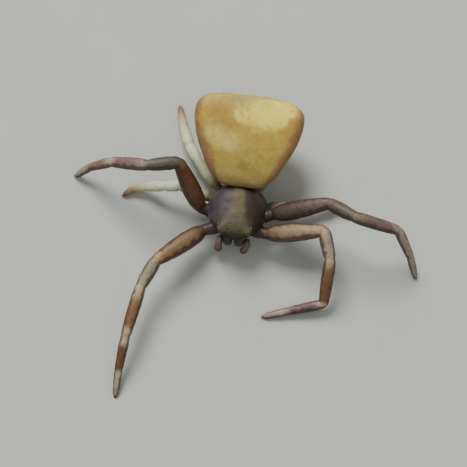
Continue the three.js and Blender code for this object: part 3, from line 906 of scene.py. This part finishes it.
def jaw_skin(own):
    """A jaw's stout first part: a tube that narrows below, a little flattened sideways."""
    side = SIDES[own]
    x, y, radius = side * JAW["x"], JAW["y"], JAW["radius"]
    joints = [(x, y, JAW["top"]), (x, y - 0.3, 1.35), (x * 0.88, y - 0.26, JAW["bottom"])]
    profile = [(0, radius * 0.8), (1, radius * 0.97), (1.7, radius * 0.86), (2, radius * 0.5)]
    grid, _ = tube(joints, profile, 70, 28, bend=0.12, pinch=0, flatten=0.95)
    return {"grid": grid, "marks": plain_marks(grid)}


def hook_skin(points, radius):
    """A curved, pointed tube: a fang or a claw."""
    profile = [(0, radius), (len(points) - 1, radius * 0.12)]
    grid, _ = tube(points, profile, 24, 10, bend=0.02, pinch=0)
    grid[..., 2] = np.maximum(grid[..., 2], 0)
    return {"grid": grid, "marks": {}}


SPINNERET_ROOT = (0.0, ABDOMEN_FRONT + ABDOMEN_LENGTH - 0.75, 1.25)
SPINNERET_TIP = (0.0, ABDOMEN_FRONT + ABDOMEN_LENGTH - 0.05, 0.92)


def spinneret_skins():
    """A low round collar, and three pairs of short cones that lean together on it."""
    root, tip = np.array(SPINNERET_ROOT), np.array(SPINNERET_TIP)
    way = unit(tip - root)
    over = unit(np.cross([1.0, 0, 0], way))
    skins = [tube([root, root + way * 0.42], [(0, 0.36), (1, 0.3)], 30, 28, pinch=0)]
    for side in (-1, 1):
        for across, rise, radius in ((0.13, 0.13, 0.1), (0.07, 0.0, 0.06), (0.13, -0.13, 0.11)):
            foot = root + way * 0.35 + over * rise + np.array([side * across, 0, 0])
            end = root + way * 0.76 + over * rise * 0.5 + np.array([side * across * 0.6, 0, 0])
            skins.append(tube([foot, end], [(0, radius), (1, radius * 0.5)], 24, 16, pinch=0))
    return [{"grid": grid, "marks": plain_marks(grid)} for grid, _ in skins]


# Settings
def colour_setting(name, words, colour):
    """A colour that a user may change, given as an sRGB hex value."""
    return FloatVectorProperty(
        name=name, description=words, subtype="COLOR", min=0, max=1, default=linear(colour)
    )


class SpiderColours(bpy.types.PropertyGroup):
    """Main colours of the animal and its stage"""

    # Painted highlight over the humps, not a pigment of the animal.
    abdomen_highlight: colour_setting("Hump yellow", "Light patches over the humps", "#F6E266")
    flank_brown: colour_setting("Flank brown", "Sides of the abdomen", "#86623E")
    shield_band: colour_setting("Shield band", "Band along the middle of the shield", "#605434")
    # Painted shade on the undersides of the front legs, also the colour of their darker edges.
    leg_dark: colour_setting("Leg dark", "Edges and undersides of the front legs", "#3A2618")
    # Painted shade on the undersides of the hind legs.
    hind_dark: colour_setting("Hind leg dark", "Undersides of the hind legs", "#8C8A62")
    eye_black: colour_setting("Eye black", "Pigment behind the lenses", "#0B0908")
    floor_grey: colour_setting("Floor grey", "The stage's floor", "#BDBDB6")


class SpiderCoat(bpy.types.PropertyGroup):
    """Sizes and numbers of the hairs"""

    length: FloatProperty(name="Length", description="Hair length in mm", default=0.13, min=0.02)
    width: FloatProperty(name="Radius", description="Hair radius at its root in mm", default=0.006)
    front_leg: IntProperty(name="Front legs", description="Hairs on each front leg", default=2600)
    hind_leg: IntProperty(name="Hind legs", description="Hairs on each hind leg", default=1100)
    feeler: IntProperty(name="Feelers", description="Hairs on each feeler", default=500)
    abdomen: IntProperty(name="Abdomen", description="Hairs on the abdomen", default=2600)
    shield: IntProperty(name="Shield", description="Bristles on the shield", default=260)
    bristle: FloatProperty(name="Bristle", description="Bristle length in mm", default=0.34)


class SpiderStage(bpy.types.PropertyGroup):
    """Camera and light"""

    azimuth: FloatProperty(
        name="Azimuth", description="Turn of the camera from straight ahead of the animal",
        subtype="ANGLE", default=math.radians(8),
    )
    elevation: FloatProperty(
        name="Elevation", description="Height angle of the camera above the floor",
        subtype="ANGLE", default=math.radians(75),
    )
    distance: FloatProperty(
        name="Distance", description="Camera to animal", unit="LENGTH", default=0.12
    )
    key: FloatProperty(name="Key", description="Power of the main light in W", default=2.7)
    fill: FloatProperty(name="Fill", description="Power of the second light in W", default=0.22)
    sky: FloatProperty(name="Sky", description="Strength of the even light", default=0.5)


# Operators
class BuildAbdomen(bpy.types.Operator):
    """Makes the abdomen's skin and its short hairs"""

    bl_idname = "crab_spider.abdomen"
    bl_label = "Abdomen"

    def execute(self, context):
        material = soft_abdomen_cuticle(context.scene.spider_colours)
        coat = context.scene.spider_coat
        skin = abdomen_skin()
        finish(mesh_from_skins("abdomen_skin", [skin]), material, "abdomen", "abdomen")
        chance = np.random.default_rng(21)
        roots = scatter(skin, coat.abdomen, chance, np.ones(skin["grid"].shape[:2]))
        lean = np.array([0, 0.9, 0.15]) + chance.normal(scale=0.25, size=(coat.abdomen, 3))
        sizes = coat.length * 0.75 * chance.uniform(0.6, 1.3, coat.abdomen)
        piece = hairs("abdomen_hairs", roots, lean, sizes, coat.width)
        finish(piece, material, "abdomen")
        return {"FINISHED"}


class BuildForeBody(bpy.types.Operator):
    """Makes the shield, the breast plate, the waist, the jaws and the spinnerets"""

    bl_idname = "crab_spider.fore_body"
    bl_label = "Fore body"

    def execute(self, context):
        material = hard_shield_cuticle(context.scene.spider_colours)
        coat = context.scene.spider_coat
        skin = shield_skin()
        finish(mesh_from_skins("shield_skin", [skin]), material, "shield", "carapace")
        chance = np.random.default_rng(5)
        keep = step(1.7, 2.2, skin["grid"][..., 2])
        roots = scatter(skin, coat.shield, chance, keep)
        lean = np.array([0, -0.5, 0.3]) + chance.normal(scale=0.3, size=(coat.shield, 3))
        sizes = coat.length * chance.uniform(0.8, 1.7, coat.shield)
        piece = hairs("shield_bristles", roots, lean, sizes, coat.width * SHIELD_BRISTLE)
        finish(piece, material, "shield")
        finish(mesh_from_skins("breast_plate", [sternum_skin()]), material, "shield", "sternum")
        waist, _ = tube([(0, 0.9, 1.5), (0, 1.9, 1.6)], [(0, 0.26), (1, 0.26)], 30, 28, pinch=0)
        waist = {"grid": waist, "marks": plain_marks(waist)}
        finish(mesh_from_skins("waist", [waist]), material, "shield", "pedicel")
        piece = mesh_from_skins("spinneret_group", spinneret_skins())
        finish(piece, material, "leg_tan", "spinnerets")
        for own in SIDES:
            piece = mesh_from_skins(f"jaw_{own}", [jaw_skin(own)])
            finish(piece, material, "shield", f"chelicera_{own}")
        return {"FINISHED"}


class BuildEyes(bpy.types.Operator):
    """Makes the eight eyes"""

    bl_idname = "crab_spider.eyes"
    bl_label = "Eyes"

    def execute(self, context):
        material = clear_eye_lens(context.scene.spider_colours)
        for name, middle, radius in eye_places():
            skin = {"grid": middle + radius * ball_directions(20, 26), "marks": {}}
            piece = mesh_from_skins(f"lens_{name}", [skin])
            finish(piece, material, "eye", f"eye_{name}")
        return {"FINISHED"}


class BuildLegs(bpy.types.Operator):
    """Makes the eight legs with their hairs, bristles and claws"""

    bl_idname = "crab_spider.legs"
    bl_label = "Legs"

    def execute(self, context):
        colours = context.scene.spider_colours
        coat = context.scene.spider_coat
        claw = dark_claw_cuticle()
        hind = hard_leg_cuticle("pale_hind_cuticle", HIND_BANDS, 0.45, 0.0, colours.hind_dark, 0.25)
        claws = []
        for number, own in POSES:
            name = f"leg{number}_{own}"
            front = number <= 2
            material = hind
            if front:
                bands = LEG_BANDS[number, own]
                material = hard_leg_cuticle(f"{name}_cuticle", bands, 0.95, 0.75, colours.leg_dark)
            slot = "leg_brown" if front else "hind_leg"
            skin = leg_skin(number, own)
            piece = mesh_from_skins(f"{name}_skin", [skin])
            finish(piece, material, slot, *[f"{name}_{part}" for part in LEG_SEGMENTS])
            count = coat.front_leg if front else coat.hind_leg
            seed = number * 2 + (own == "left")
            share = skin["marks"]["Along"]
            keep = 0.25 + step(0.15, 0.2, share) + 2 * step(0.8, 1, share)
            sizes = (count, coat.length, coat.width, seed)
            limb_coat(f"{name}_hairs", skin, *sizes, material, slot, keep)
            if front:
                along, turns = np.array(FEMUR_BRISTLES + SHIN_BRISTLES).T
                roots = stand_at(skin, along, turns)
                lean = ahead_of(skin, roots) * 0.9
                piece = hairs(f"{name}_bristles", roots, lean, coat.bristle, coat.width * LEG_BRISTLE)
                finish(piece, claw, slot)
            claws += self.claw_pair(number, own)
        finish(mesh_from_skins("claws", claws), claw, "leg_brown")
        return {"FINISHED"}

    def claw_pair(self, number, own):
        """Two hooks side by side that curve from a foot's tip down to the floor."""
        joints = leg_joints(number, own)
        toe = leg_radii(number)["toe"]
        ahead = unit((joints[6] - joints[5]) * [1, 1, 0])
        across = np.cross(ahead, [0, 0, 1.0])
        hooks = []
        for side in (-1, 1):
            base = joints[6] + across * side * toe * 0.4 - ahead * 0.04
            reach = [base, base + ahead * 0.1 + across * side * 0.02, base + ahead * 0.15]
            reach[1][2] = toe * 1.1
            reach[2][2] = 0.02
            hooks.append(hook_skin(reach, CLAW_RADIUS))
        return hooks


class BuildMouthParts(bpy.types.Operator):
    """Makes the feelers with their hairs, and the fangs"""

    bl_idname = "crab_spider.mouth_parts"
    bl_label = "Mouth parts"

    def execute(self, context):
        colours = context.scene.spider_colours
        coat = context.scene.spider_coat
        material = hard_leg_cuticle("feeler_cuticle", PALP_BANDS, 0.5, 0.2, colours.leg_dark)
        fangs = []
        for own, side in SIDES.items():
            skin = palp_skin(own)
            finish(mesh_from_skins(f"feeler_{own}", [skin]), material, "leg_brown", f"palp_{own}")
            sizes = (coat.feeler, coat.length, coat.width, 40 + side)
            limb_coat(f"feeler_{own}_hairs", skin, *sizes, material, "leg_brown")
            x, y = side * JAW["x"] * 0.85, JAW["y"] - 0.28
            base = JAW["bottom"] + 0.08
            bend = (x - side * 0.08, y - 0.04, base - 0.12)
            point = (x - side * 0.2, y, base - 0.14)
            fangs.append(hook_skin([(x, y, base), bend, point], FANG_RADIUS))
        finish(mesh_from_skins("fangs", fangs), dark_claw_cuticle(), "shield")
        return {"FINISHED"}


class BuildStage(bpy.types.Operator):
    """Makes the floor, the lights and the camera"""

    bl_idname = "crab_spider.stage"
    bl_label = "Stage"

    # The photograph's frame, and where the middle of the shield lies in it
    FRAME_PX = 467
    SHIELD_PX = (237.0, 211.0)
    PX_PER_MM = 20.5
    SHIELD_POINT = (0.0, 0.0, 1.9)
    FLOOR_RADIUS = 700.0

    def execute(self, context):
        stage = context.scene.spider_stage
        self.add_floor(context.scene.spider_colours)
        self.add_camera(context.scene, stage)
        for name, place, size, power in (
            ("key_light", (-0.14, 0.27, 0.38), 0.23, stage.key),
            ("fill_light", (0.28, -0.2, 0.36), 0.3, stage.fill),
        ):
            light = bpy.data.lights.new(name, "AREA")
            light.energy = power
            light.shape = "DISK"
            light.size = size
            lamp = bpy.data.objects.new(name, light)
            context.scene.collection.objects.link(lamp)
            lamp.location = place
            lamp.rotation_euler = (-Vector(place)).to_track_quat("-Z", "Y").to_euler()
        world = bpy.data.worlds.new("even_sky")
        world.use_nodes = True
        background = world.node_tree.nodes["Background"]
        background.inputs["Color"].default_value = opaque("#E8EBEE")
        background.inputs["Strength"].default_value = stage.sky
        context.scene.world = world
        return {"FINISHED"}

    def add_floor(self, colours):
        """A flat disc: rings whose radius grows as the square of their number."""
        rings, around = 20, 72
        radius = self.FLOOR_RADIUS * np.linspace(0.02, 1, rings)[:, None] ** 2
        turn = np.linspace(0, 2 * math.pi, around, endpoint=False)[None]
        flat = np.zeros((rings, around))
        grid = np.stack([radius * np.cos(turn), radius * np.sin(turn), flat], -1)
        ids = np.arange(rings * around).reshape(rings, around)
        after = np.roll(ids, -1, axis=1)
        quads = np.stack([ids[:-1], ids[1:], after[1:], after[:-1]], -1).reshape(-1, 4)
        fan = np.stack([ids[0], after[0], np.full(around, rings * around)], -1)
        points = np.concatenate([grid.reshape(-1, 3), [[0, 0, 0]]])
        floor = mesh_object("floor", points, quads.tolist() + fan.tolist(), {})
        floor.data.materials.append(matt_coated_board(colours))

    def add_camera(self, scene, stage):
        """The camera looks back along its azimuth and elevation, with the shield at its pixel."""
        azimuth, elevation = stage.azimuth, stage.elevation
        back = np.array(
            [
                math.sin(azimuth) * math.cos(elevation),
                -math.cos(azimuth) * math.cos(elevation),
                math.sin(elevation),
            ]
        )
        right = np.array([math.cos(azimuth), math.sin(azimuth), 0])
        up = np.cross(back, right)
        focal_px = self.PX_PER_MM * stage.distance / MM
        aside = (self.SHIELD_PX[0] - self.FRAME_PX / 2) / focal_px
        above = (self.FRAME_PX / 2 - self.SHIELD_PX[1]) / focal_px
        target = (np.array(self.SHIELD_POINT) + SHIFT) * MM
        place = target + (back - right * aside - up * above) * stage.distance
        data = bpy.data.cameras.new("camera")
        data.sensor_width = 36
        data.lens = focal_px * data.sensor_width / self.FRAME_PX
        data.clip_start = 0.002
        data.clip_end = 20
        camera = bpy.data.objects.new("camera", data)
        camera.matrix_world = Matrix(
            [[right[i], up[i], back[i], place[i]] for i in range(3)] + [[0, 0, 0, 1]]
        )
        scene.collection.objects.link(camera)
        scene.camera = camera


OPERATORS = (BuildAbdomen, BuildForeBody, BuildEyes, BuildLegs, BuildMouthParts, BuildStage)
SETTINGS = {
    "spider_colours": SpiderColours, "spider_coat": SpiderCoat, "spider_stage": SpiderStage,
}


class SpiderPanel(bpy.types.Panel):
    """Lists the settings and the operators in the sidebar"""

    bl_idname = "VIEW3D_PT_crab_spider"
    bl_label = "Crab spider"
    bl_space_type = "VIEW_3D"
    bl_region_type = "UI"
    bl_category = "Crab spider"

    def draw(self, context):
        for name, group in SETTINGS.items():
            box = self.layout.box()
            for setting in group.__annotations__:
                box.prop(getattr(context.scene, name), setting)
        for operator in OPERATORS:
            self.layout.operator(operator.bl_idname)


CLASSES = (*SETTINGS.values(), *OPERATORS, SpiderPanel)


def register():
    """Registers the classes, and gives the scene its settings."""
    for each in CLASSES:
        bpy.utils.register_class(each)
    for name, group in SETTINGS.items():
        setattr(bpy.types.Scene, name, PointerProperty(type=group))


def unregister():
    """Takes the settings and the classes away again."""
    for name in SETTINGS:
        delattr(bpy.types.Scene, name)
    for each in reversed(CLASSES):
        bpy.utils.unregister_class(each)


def main():
    """Builds the stage and the animal."""
    register()
    bpy.ops.crab_spider.stage()
    bpy.ops.crab_spider.abdomen()
    bpy.ops.crab_spider.fore_body()
    bpy.ops.crab_spider.eyes()
    bpy.ops.crab_spider.legs()
    bpy.ops.crab_spider.mouth_parts()


if __name__ == "__main__":
    main()
